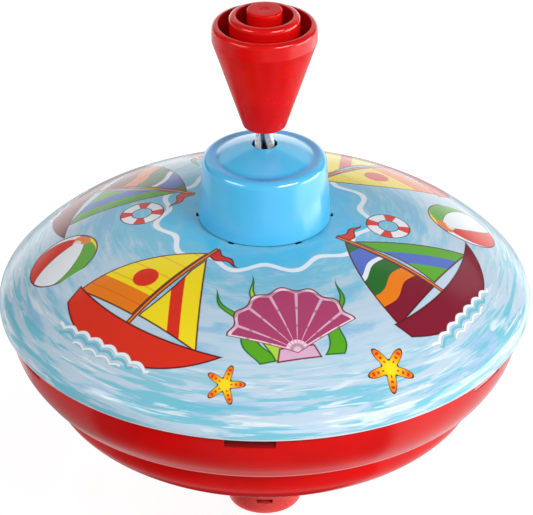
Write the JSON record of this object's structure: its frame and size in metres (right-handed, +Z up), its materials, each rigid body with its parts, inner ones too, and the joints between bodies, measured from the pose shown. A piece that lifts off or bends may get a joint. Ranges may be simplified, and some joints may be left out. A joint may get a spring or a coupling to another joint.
{
  "type": "spinning top",
  "caption": "Pump-action humming top: a printed tin dome on a red bowl, spun by pushing a conical knob on a twisted steel strip, standing on a free-turning foot.",
  "frame": {"origin": "on the spin axis, at the middle of the foot's underside, where the top stands on the floor", "axes": "+Z up along the spin axis from the foot to the knob, -Y towards the picture's camera, +X to the picture's right"},
  "size_m": [0.19, 0.19, 0.1997],
  "materials": {
    "printed_tin": "gloss lacquer over a printed picture on tinplate",
    "red_tin": "gloss red lacquer on tinplate",
    "blue_tin": "gloss light blue lacquer on tinplate",
    "red_plastic": "glossy moulded red plastic",
    "steel": "bright drawn steel",
    "plain_tin": "bare tinplate",
    "nylon": "natural moulded nylon",
    "black_nylon": "black moulded nylon"
  },
  "bodies": {
    "body": {"upper_shell": "printed_tin", "lower_shell": "red_tin", "drive_collar": "blue_tin", "clutch_crown": "nylon", "crown_lock_ring": "nylon", "spindle_tube": "plain_tin", "foot_hub": "red_plastic", "hub_lock_ring": "red_plastic", "foot_pivot": "steel"},
    "plunger": {"knob": "red_plastic", "spindle": "steel", "spindle_stop": "steel"},
    "driver": {"drive_nut": "black_nylon"},
    "stand": {"foot": "red_plastic", "foot_cap": "red_plastic"}
  },
  "joints": [
    {"name": "plunger_slide", "type": "slide", "parent": "body", "child": "plunger", "axis": [0, 0, 1], "range_m": [0, 0.083]},
    {"name": "driver_turn", "type": "hinge", "parent": "body", "child": "driver", "pos_m": [0, 0, 0.1242], "axis": [0, 0, 1], "range_deg": [0, 630]},
    {"name": "foot_turn", "type": "hinge", "parent": "body", "child": "stand", "pos_m": [0, 0, 0], "axis": [0, 0, 1], "continuous": true}
  ],
  "couplings": [
    {"joint": "driver_turn", "follows": "plunger_slide", "rad_per_m": 130.9}
  ]
}
